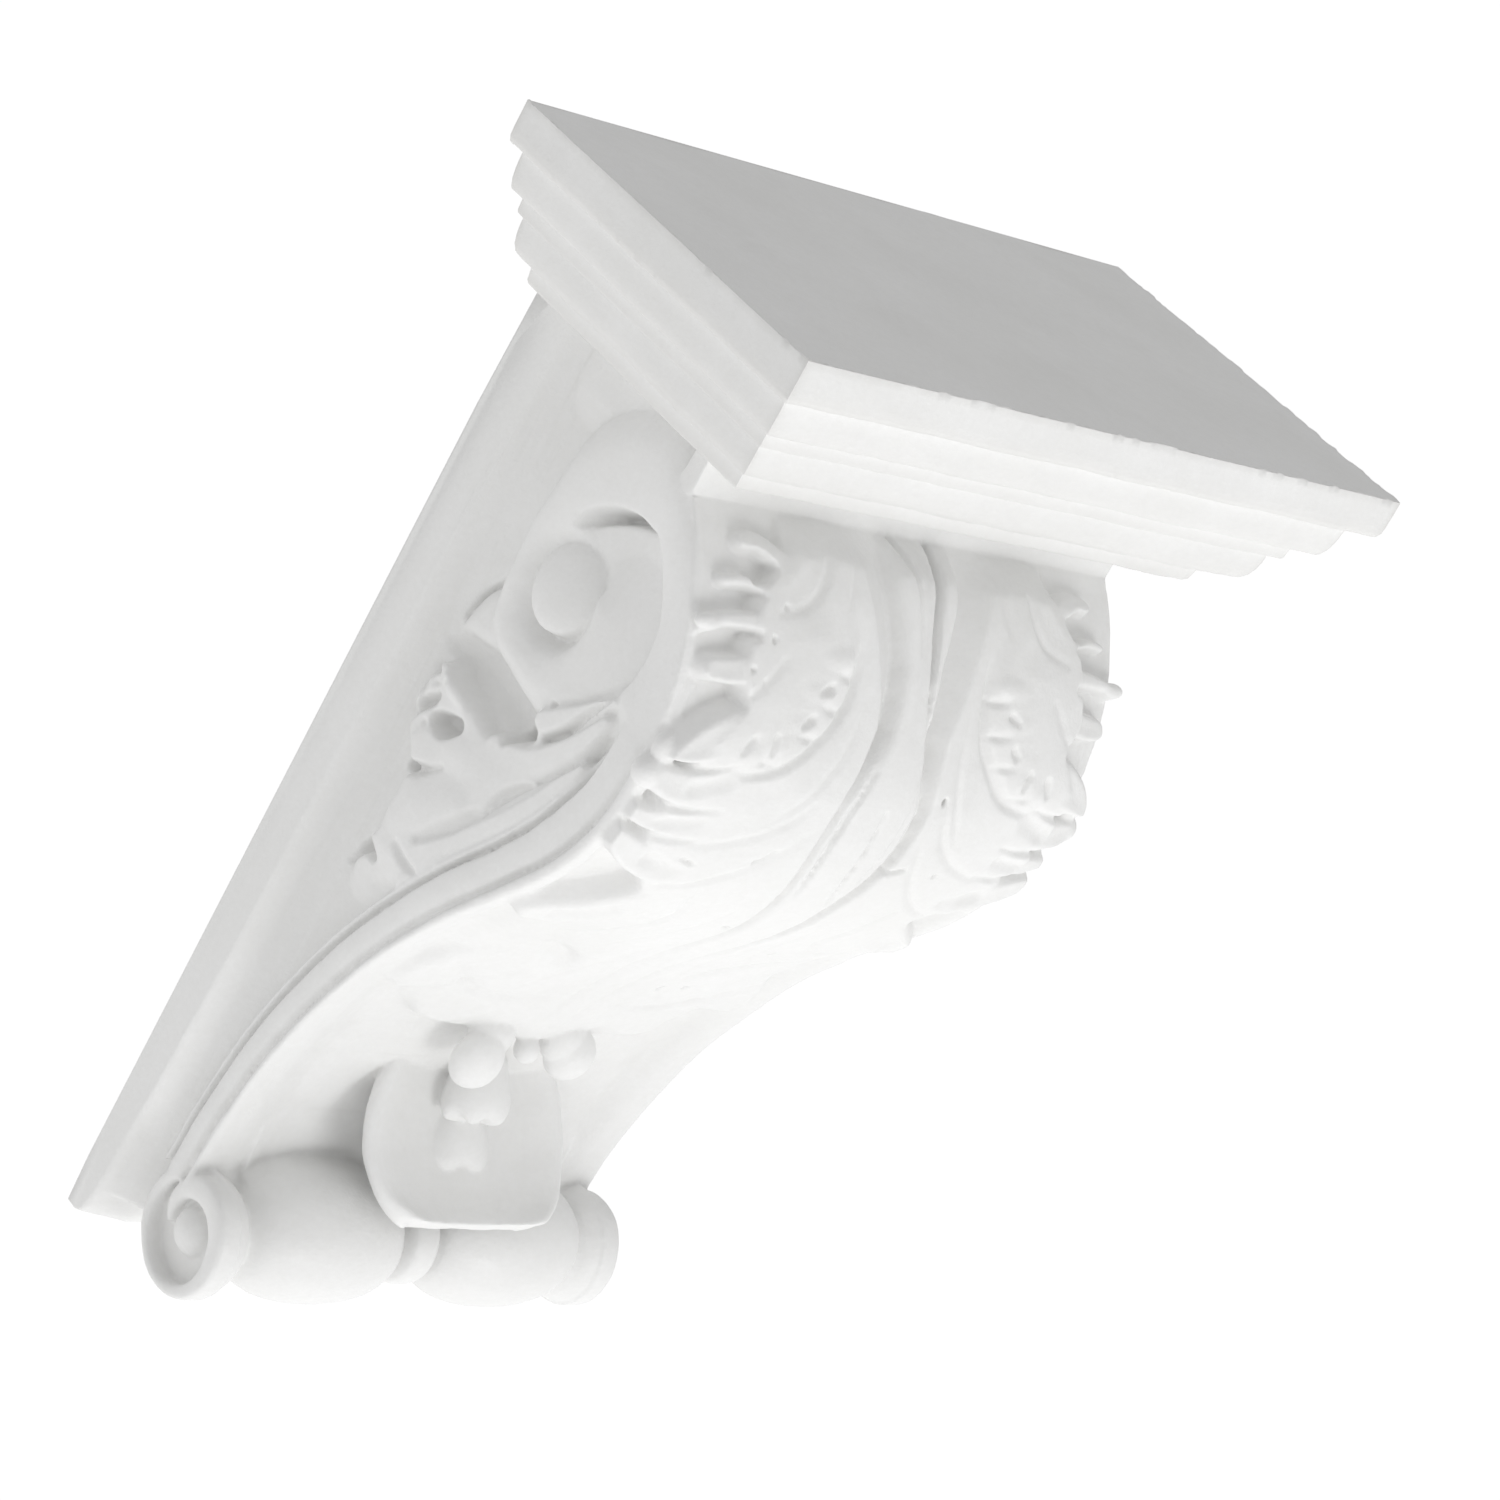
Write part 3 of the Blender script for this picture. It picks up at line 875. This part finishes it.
# %% Hang the husks
HUSKS = (((-0.040, -0.286), (-0.0512, -0.3080), 0.0085, 0.0138, 3),
         ((-0.0400, -0.306), (-0.0525, -0.3262), 0.0100, 0.0148, 3))
for (y_top, z_top), (y_end, z_end), narrow, wide, scallops in HUSKS:
    start, end = np.array([y_top, TOP + z_top]), np.array([y_end, TOP + z_end])
    run = (end - start) / np.linalg.norm(end - start)
    outward = np.array([run[1], -run[0]])
    angle = np.linspace(0, 2 * math.pi, 60, endpoint=False)
    rings = []
    for share, swell in ((0.0, 0.5), (0.2, 0.84), (0.5, 0.95), (0.7, 1.0), (0.84, 0.99), (0.93, 0.92),
                         (0.98, 0.78), (1.0, 0.5), (0.99, 0.2)):
        size = (narrow + (wide - narrow) * share) * swell
        wave = 1 + 0.04 * np.cos(scallops * 2 * angle) * share
        centre = start + (end - start) * share
        depth = 0.0085 * swell * np.sin(angle)
        drop = 0.0012 * share * np.cos(scallops * 2 * angle)
        rings.append(np.column_stack([size * wave * np.cos(angle),
                                      centre[0] + outward[0] * depth + run[0] * drop,
                                      centre[1] + outward[1] * depth + run[1] * drop]))
    keep(*loft(rings))
print("husks:", len(HUSKS))

# %% The bead and the balls at the leaf's end
bead = on_front(0.0, 0.2395, 0.0065)
keep(*ball(bead, (0.0042, 0.0042, 0.0044)))
keep(*ball(bead + (-0.0190, -0.0016, -0.0040), (0.0092, 0.0068, 0.0100)))
keep(*ball(bead + (0.0195, 0.0010, -0.0010), (0.0088, 0.0070, 0.0092)))
keep_both_sides(*ball(bead + (0.0150, 0.0020, 0.0030), (0.0080, 0.0060, 0.0080)))
print("bead, mm above the foot:", round((bead[2] - LOW.z) / MM, 1))

# %% [markdown]
# ## Slab, neck and core
# The plain masses come last: the slab that lies on the wall, the neck under the shelf and the body's core.

# %% The slab on the wall
rings = []
for drop, crease_depth, shrink in ((0.050, 0.0182, 1.0), (0.200, 0.0172, 1.0), (0.280, 0.0162, 1.0),
                                   (0.340, 0.0135, 1.0), (0.372, 0.0115, 1.0), (0.3790, 0.0108, 0.94),
                                   (0.3825, 0.0104, 0.84), (0.3838, 0.0100, 0.66)):
    z_level = TOP - drop
    inner_edge = -(crease_depth + 0.006)
    ring = ((-PLATE_HALF, 0), (PLATE_HALF, 0), (PLATE_HALF, 0.0012 - crease_depth),
            (PLATE_HALF - 0.0010, -crease_depth), (WALL_HALF - 0.002, inner_edge),
            (-WALL_HALF + 0.002, inner_edge), (-PLATE_HALF + 0.0010, -crease_depth),
            (-PLATE_HALF, 0.0012 - crease_depth))
    rings.append([(x, y_part * shrink, z_level) for x, y_part in ring])
keep(*loft(rings))
print("slab's width, mm:", round(2 * PLATE_HALF / MM, 1))

# %% The neck and the core
neck_half = 0.0835
corners = ((-neck_half, -0.007), (neck_half, -0.007), (neck_half, -NECK_DEPTH), (-neck_half, -NECK_DEPTH))
rings = [[(x, y_part, z_level) for x, y_part in corners] for z_level in (TOP - 0.050, LINE_TOP - 0.001)]
rings.append([(x * 0.97, y_part * 0.95, LINE_TOP - NECK_DROP) for x, y_part in corners])
keep(*loft(rings))
corner_half, corner_back = 0.0872, -0.083
corners = ((-corner_half, corner_back), (corner_half, corner_back), (corner_half, -NECK_DEPTH),
           (-corner_half, -NECK_DEPTH))
levels = (TOP - 0.050, LINE_TOP - 0.0005)
keep(*loft([[(x, y_part, z_level) for x, y_part in corners] for z_level in levels]))
outline = [(-0.007, TOP - 0.050), (-NECK_DEPTH + 0.003, TOP - 0.050), (-NECK_DEPTH + 0.006, LINE_TOP)]
shares = np.linspace(0.04, 1.0, 60)
point, _, normal = line_at(shares * LINE_LENGTH)
inward = np.interp(shares, (0.82, 0.97), (0.012, 0.0045))[:, None]
outline += [tuple(spot) for spot in point - normal * inward]
outline += [tuple(ROLL_AXIS), (-0.007, ROLL_AXIS[1])]
core_half = WALL_HALF - 0.006
keep(*loft([[(x, y_part, z_level) for y_part, z_level in outline] for x in (-core_half, core_half)]))
above, _, out_of = line_at(0.93 * LINE_LENGTH)
fillet_top = above - out_of * 0.0035 - ROLL_CENTRE
rings = []
for x in np.linspace(-0.064, 0.064, 65):
    r = float(np.interp(abs(x), half_profile[:, 0], half_profile[:, 1]))
    fillet = (tuple(fillet_top), (0.62 * r + 0.0015, 0.86 * r + 0.0012), (0.34 * r, 0.94 * r),
              (0.10 * r, 0.90 * r), (0.006, 0.0), (0.016, 0.004))
    rings.append([(x, ROLL_CENTRE[0] + y_part, ROLL_CENTRE[1] + z_part) for y_part, z_part in fillet])
keep(*loft(rings))
print("shells in all:", len(shells))

# %% [markdown]
# ## One skin
# Now the shells go into one mesh and a voxel remesh makes a single closed skin. The voxel is a little over
# half a millimetre, finer than the carving's smallest groove.

# %% Helpers for meshes
def object_of(name, points, faces):
    mesh = bpy.data.meshes.new(name)
    mesh.from_pydata(np.asarray(points).tolist(), [], faces)
    obj = bpy.data.objects.new(name, mesh)
    bpy.context.scene.collection.objects.link(obj)
    return obj


def skin_of(parts):
    points = np.concatenate([points for points, _ in parts])
    faces, first = [], 0
    for part_points, part_faces in parts:
        faces += [tuple(number + first for number in face) for face in part_faces]
        first += len(part_points)
    return object_of("skin", points, faces)


def apply_modifiers(obj):
    graph = bpy.context.evaluated_depsgraph_get()
    mesh = bpy.data.meshes.new_from_object(obj.evaluated_get(graph))
    obj.modifiers.clear()
    old = obj.data
    obj.data = mesh
    bpy.data.meshes.remove(old)


print("points in the shells:", sum(len(points) for points, _ in shells))

# %% Make the skin
VOXEL = 0.00065
skin = skin_of(shells)
remesh = skin.modifiers.new("one skin", "REMESH")
remesh.mode = "VOXEL"
remesh.voxel_size = VOXEL
smooth = skin.modifiers.new("soft", "SMOOTH")
smooth.factor = 0.5
smooth.iterations = 1
apply_modifiers(skin)
print("skin faces:", len(skin.data.polygons))

# %% [markdown]
# Air bubbles leave pinholes in a casting, and a dry casting cracks where it is thin. They are pressed into
# the fine skin before it is thinned, so that the thinning keeps their edges.

# %% Pinholes and a crack
PINHOLES = ((-68, 45), (-57.5, 28), (9.5, 59), (22, 72), (-32.6, 99.5), (40, 97), (-14, 131), (33, 158))
PINHOLE_DEPTH, PINHOLE_RADIUS = 0.0014, 0.0009
CRACK_DEPTH, CRACK_LENGTH, CRACK_WIDTH = 0.0007, 0.0022, 0.0007
CRACK = ((-0.018, -1.06, 1.62), (-0.014, -1.15, 1.58), (-0.0085, -1.26, 1.50))


def points_of(mesh):
    values = np.empty(len(mesh.vertices) * 3, dtype=np.float32)
    mesh.vertices.foreach_get("co", values)
    return values.reshape(-1, 3).astype(float)


def normals_of(mesh):
    values = np.empty(len(mesh.vertices) * 3, dtype=np.float32)
    mesh.vertex_normals.foreach_get("vector", values)
    return values.reshape(-1, 3).astype(float)


points, normals = points_of(skin.data), normals_of(skin.data)
press = np.zeros(len(points))
for u, v in PINHOLES:
    where = on_front(u * MM, v * MM, 0.008)
    nearest = np.argmin(np.linalg.norm(points - where, axis=1))
    away = np.linalg.norm(points - points[nearest], axis=1)
    press += PINHOLE_DEPTH * np.exp(-(away / PINHOLE_RADIUS) ** 2)
crack = [np.array((x, ROLL_AXIS[0] + y_part * ROLL_RADIUS, ROLL_AXIS[1] + z_part * ROLL_RADIUS + 0.001))
         for x, y_part, z_part in CRACK]
for start, end in zip(crack, crack[1:]):
    share = np.clip((points - start) @ (end - start) / ((end - start) @ (end - start)), 0, 1)
    away = np.linalg.norm(points - start - share[:, None] * (end - start), axis=1)
    beside = points[:, 0] - start[0] - share * (end - start)[0]
    press += CRACK_DEPTH * np.exp(-(away / CRACK_LENGTH) ** 4) * np.exp(-(beside / CRACK_WIDTH) ** 2)
points -= normals * np.clip(press, 0, 0.0017)[:, None]
skin.data.vertices.foreach_set("co", points.astype(np.float32).ravel())
skin.data.update()
print("points pressed in:", int((press > 0.0003).sum()))

# %% Thin out what is flat
SKIN_TRIANGLES = 197000
thin = skin.modifiers.new("thin out", "DECIMATE")
thin.ratio = min(1.0, SKIN_TRIANGLES / (2 * len(skin.data.polygons)))
apply_modifiers(skin)
work = bmesh.new()
work.from_mesh(skin.data)
bmesh.ops.dissolve_degenerate(work, edges=work.edges, dist=0.00008)
bmesh.ops.triangulate(work, faces=[face for face in work.faces if len(face.verts) > 3])
bmesh.ops.smooth_vert(work, verts=work.verts, factor=0.25, use_axis_x=True, use_axis_y=True, use_axis_z=True)
bmesh.ops.recalc_face_normals(work, faces=work.faces)
open_edges = sum(not edge.is_manifold for edge in work.edges)
work.to_mesh(skin.data)
work.free()
print("thinned faces:", len(skin.data.polygons), "open edges:", open_edges)

# %% [markdown]
# ## The shelf
# The shelf has straight mouldings that a mould keeps crisp, so it is lofted directly: one profile, taken
# round three sides with mitred corners. The rings carry on over the top, where the pour left the face a
# little uneven.

# %% The shelf's moulding
SHELF_PROFILE = [(0.0, 0.5), (0.0, 3.0), (0.0, 6.0), (0.0, 9.0), (0.2, 11.5), (1.0, 13.2), (2.4, 13.9),
                 (6.6, 14.1)]
COVE_ANGLES = np.radians((0, 15, 30, 50, 75))
SHELF_PROFILE += [(7.0 + 2.6 * (1 - math.cos(a)), 14.6 + 11.6 * math.sin(a)) for a in COVE_ANGLES]
SHELF_PROFILE += [(9.6, 26.6), (11.0, 27.1), (14.4, 27.2), (14.7, 27.9), (15.0, 32.0), (15.6, 32.9),
                  (17.6, 33.1)]
SHELF_PROFILE += [(18.2 + 4.0 * (1 - math.cos(a)), 33.6 + 10.8 * math.sin(a)) for a in COVE_ANGLES]
SHELF_PROFILE += [(22.6, 44.9), (24.4, 45.2), (28.6, 45.3), (29.1, 46.0), (30.2, 51.6), (31.2, 52.7),
                  (32.4, 53.0)]
TOP_INSETS = (64.0, 56.0, 48.0, 40.0, 32.0, 25.0, 19.0, 14.0, 10.0, 7.0, 5.0, 3.6, 2.6, 1.8, 1.2, 0.7, 0.3)
UNDER_INSETS = (36.0, 42.0, 50.0, 60.0)
MIDDLE_INSET = SHELF_DEPTH / 2 / MM
SHELF_STEP = 0.0016


def shelf_ring(inset, back_inset, drop):
    """One ring round the shelf: left side, front, right side and back, each in equal steps."""
    x, y_front, y_back = SHELF_WIDTH / 2 - inset * MM, -SHELF_DEPTH + inset * MM, -back_inset * MM
    corners = np.array([(-x, y_back), (-x, y_front), (x, y_front), (x, y_back), (-x, y_back)])
    counts = [round(length / SHELF_STEP) for length in (SHELF_DEPTH, SHELF_WIDTH, SHELF_DEPTH, SHELF_WIDTH)]
    points = [a + (b - a) * t for a, b, count in zip(corners, corners[1:], counts)
              for t in np.linspace(0, 1, count, endpoint=False)]
    return np.column_stack([points, np.full(len(points), TOP - drop * MM)])


print("rows in the moulding's profile:", len(SHELF_PROFILE))

# %% Loft the shelf
rings = [shelf_ring(inset, inset, 0.0) for inset in (MIDDLE_INSET,) + TOP_INSETS]
rings += [shelf_ring(inset, 0.0, drop) for inset, drop in SHELF_PROFILE]
last_inset = SHELF_PROFILE[-1][0]
for inset in UNDER_INSETS + (MIDDLE_INSET,):
    rings.append(shelf_ring(inset, MIDDLE_INSET * (inset - last_inset) / (MIDDLE_INSET - last_inset), 53.0))
shelf_points, shelf_faces = loft(rings)
shelf = object_of("shelf", shelf_points, shelf_faces[:-2])
work = bmesh.new()
work.from_mesh(shelf.data)
bmesh.ops.remove_doubles(work, verts=work.verts, dist=0.00001)
open_edges = sum(not edge.is_manifold for edge in work.edges)
work.to_mesh(shelf.data)
work.free()
print("shelf rings:", len(rings), "open edges:", open_edges)

# %% [markdown]
# ## A hand-finished surface
# No face of a plaster casting is quite flat. Long low waves come from the rubber mould and short ones from
# the hand that smoothed it. They are sums of a few plane waves, which cost nothing, repeat nowhere on the
# part and run through every piece without a seam. What they push past the solid's box is set back to it,
# because a dressed part must not outgrow its solid.

# %% Waves
def waves(points, length, count, seed):
    """A smooth random value between about -1 and 1 at each point, with ripples of about the given length."""
    draw = np.random.default_rng(seed)
    directions = draw.normal(size=(count, 3))
    directions /= np.linalg.norm(directions, axis=1)[:, None]
    scales = 2 * math.pi / (length * draw.uniform(0.7, 1.5, count))
    shifts = draw.uniform(0, 2 * math.pi, count)
    total = np.zeros(len(points))
    for direction, scale, shift in zip(directions, scales, shifts):
        total += np.sin(points @ direction * scale + shift)
    return total / math.sqrt(count)


def roughen(obj):
    """Moves each point a little along its normal, but not on the flat back."""
    points, normals = points_of(obj.data), normals_of(obj.data)
    move = 0.00016 * waves(points, 0.034, 14, 3) + 0.00007 * waves(points, 0.010, 18, 4)
    move += 0.00003 * waves(points, 0.0035, 20, 5)
    on_wall = np.clip(-points[:, 1] / 0.001, 0, 1)
    points = points + normals * (move * on_wall)[:, None]
    obj.data.vertices.foreach_set("co", points.astype(np.float32).ravel())
    obj.data.update()


roughen(skin)
print("points that the waves moved:", len(skin.data.vertices))

# %% Chip the shelf's top edges
points = points_of(shelf.data)
normals = normals_of(shelf.data)
to_edge = np.minimum(SHELF_WIDTH / 2 - np.abs(points[:, 0]), points[:, 1] + SHELF_DEPTH)
ragged = waves(points * (1, 1, 0.2), 0.007, 24, 8) * 0.6 + waves(points * (1, 1, 0.2), 0.0028, 24, 9) * 0.4
on_top = TOP - points[:, 2] < 0.0003
flash = np.exp(-(to_edge / 0.0013) ** 2) * np.clip(0.5 + 0.6 * ragged, 0, 1)
sag = 0.00060 + 0.00025 * waves(points, 0.045, 10, 12) * np.clip(to_edge / 0.01, 0, 1)
points[:, 2] -= np.where(on_top, np.clip(sag, 0, 1) * (1 - flash), 0)
lip = np.clip(1 - (TOP - points[:, 2]) / 0.004, 0, 1) * np.clip(1 - to_edge / 0.0010, 0, 1)
points -= normals * (1, 1, 0) * (0.0004 * lip * np.clip(ragged, -0.3, 2))[:, None]
shelf.data.vertices.foreach_set("co", points.astype(np.float32).ravel())
shelf.data.update()
roughen(shelf)
for piece in (skin, shelf):
    points = np.clip(points_of(piece.data), LOW, HIGH)
    piece.data.vertices.foreach_set("co", points.astype(np.float32).ravel())
    piece.data.update()
print("points on the shelf's top:", int(on_top.sum()))

# %% [markdown]
# ## Plaster
# Dry casting plaster under a thin coat of white paint is nearly white, a little warm, and has a faint satin
# sheen. Its surface is never quite even: the paint mottles it, dust settles in the hollows, and air bubbles
# leave a few pinholes.

# %% A value for the hollows
def mark_hollows(obj, rounds, depth):
    """Stores how deep each point lies below its neighbourhood, from 0 to 1."""
    mesh = obj.data
    points, normals = points_of(mesh), normals_of(mesh)
    pairs = np.empty(len(mesh.edges) * 2, dtype=np.int32)
    mesh.edges.foreach_get("vertices", pairs)
    a, b = pairs.reshape(-1, 2).T
    count = np.bincount(a, minlength=len(points)) + np.bincount(b, minlength=len(points))
    mean = points.copy()
    for _ in range(rounds):
        total = np.stack([np.bincount(a, mean[b, k], len(points)) + np.bincount(b, mean[a, k], len(points))
                          for k in range(3)], 1)
        mean = total / count[:, None]
    hollow = np.clip(((mean - points) * normals).sum(1) / depth, 0, 1)
    layer = mesh.attributes.new("hollow", "FLOAT", "POINT")
    layer.data.foreach_set("value", hollow.astype(np.float32))
    print(obj.name, "hollow share:", round(float((hollow > 0.3).mean()), 3))


mark_hollows(skin, 5, 0.0014)
mark_hollows(shelf, 4, 0.0010)

# %% [markdown]
# The material works on the object's own coordinates, so that its grain has the same size everywhere. Three
# noises of different scale stand for cloudy paint, for faint specks and for the fine grain that the bump
# node feels. The stored hollow value warms and dulls the paint where dust lies.

# %% Helpers for the plaster's nodes
plaster = bpy.data.materials.new("plaster")
plaster.use_nodes = True
tree = plaster.node_tree
shader = tree.nodes["Principled BSDF"]
place_on = tree.nodes.new("ShaderNodeTexCoord")


def noise(scale, detail, low, high):
    """A noise over the object, remapped to run from low to high."""
    texture = tree.nodes.new("ShaderNodeTexNoise")
    texture.inputs["Scale"].default_value = scale
    texture.inputs["Detail"].default_value = detail
    tree.links.new(place_on.outputs["Object"], texture.inputs["Vector"])
    remap = tree.nodes.new("ShaderNodeMapRange")
    remap.inputs["From Min"].default_value = 0.3
    remap.inputs["From Max"].default_value = 0.7
    remap.inputs["To Min"].default_value = low
    remap.inputs["To Max"].default_value = high
    tree.links.new(texture.outputs["Fac"], remap.inputs["Value"])
    return remap.outputs["Result"]


def mixed(share, first, second):
    """A colour between two, by a share that changes over the surface."""
    mix = tree.nodes.new("ShaderNodeMix")
    mix.data_type = "RGBA"
    tree.links.new(share, mix.inputs["Factor"])
    for socket, colour in ((mix.inputs["A"], first), (mix.inputs["B"], second)):
        if isinstance(colour, tuple):
            socket.default_value = colour
        else:
            tree.links.new(colour, socket)
    return mix.outputs["Result"]


def times(value, factor):
    """A value that changes over the surface, times a number."""
    scale = tree.nodes.new("ShaderNodeMath")
    scale.operation = "MULTIPLY"
    tree.links.new(value, scale.inputs[0])
    scale.inputs[1].default_value = factor
    return scale.outputs["Value"]


print("nodes so far:", len(tree.nodes))

# %% The plaster's material
LIGHT_PAINT, DARK_PAINT = (0.865, 0.865, 0.860, 1.0), (0.835, 0.835, 0.826, 1.0)
SPECK, DUST = (0.785, 0.780, 0.765, 1.0), (0.60, 0.59, 0.565, 1.0)
DUST_SHARE = 0.35
cloudy = mixed(noise(22.0, 5.0, 0.0, 1.0), LIGHT_PAINT, DARK_PAINT)
specked = mixed(noise(420.0, 2.0, 0.0, 0.25), cloudy, SPECK)
hollow_value = tree.nodes.new("ShaderNodeAttribute")
hollow_value.attribute_name = "hollow"
dusty = mixed(times(hollow_value.outputs["Fac"], DUST_SHARE), specked, DUST)
tree.links.new(dusty, shader.inputs["Base Color"])
tree.links.new(noise(60.0, 3.0, 0.40, 0.62), shader.inputs["Roughness"])
bump = tree.nodes.new("ShaderNodeBump")
bump.inputs["Strength"].default_value = 0.25
bump.inputs["Distance"].default_value = 0.00025
tree.links.new(noise(700.0, 4.0, 0.0, 1.0), bump.inputs["Height"])
tree.links.new(bump.outputs["Normal"], shader.inputs["Normal"])
print("nodes in the plaster:", len(tree.nodes))

# %% [markdown]
# Last, each piece gets its material and smooth shading, apart from the back, which is one flat face, and
# the shelf's crisp edges.

# %% Finish
for piece in (skin, shelf):
    piece.data.materials.clear()
    piece.data.materials.append(plaster)
    piece.data.shade_smooth()
    back = [face for face in piece.data.polygons if face.normal.y > 0.97 and face.center.y > -0.001]
    for face in back:
        face.use_smooth = False
    print(piece.name, "faces on the flat back:", len(back))
    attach(piece, "root")
    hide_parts("corbel")
skin.name = "body"
shelf.data.set_sharp_from_angle(angle=math.radians(40))
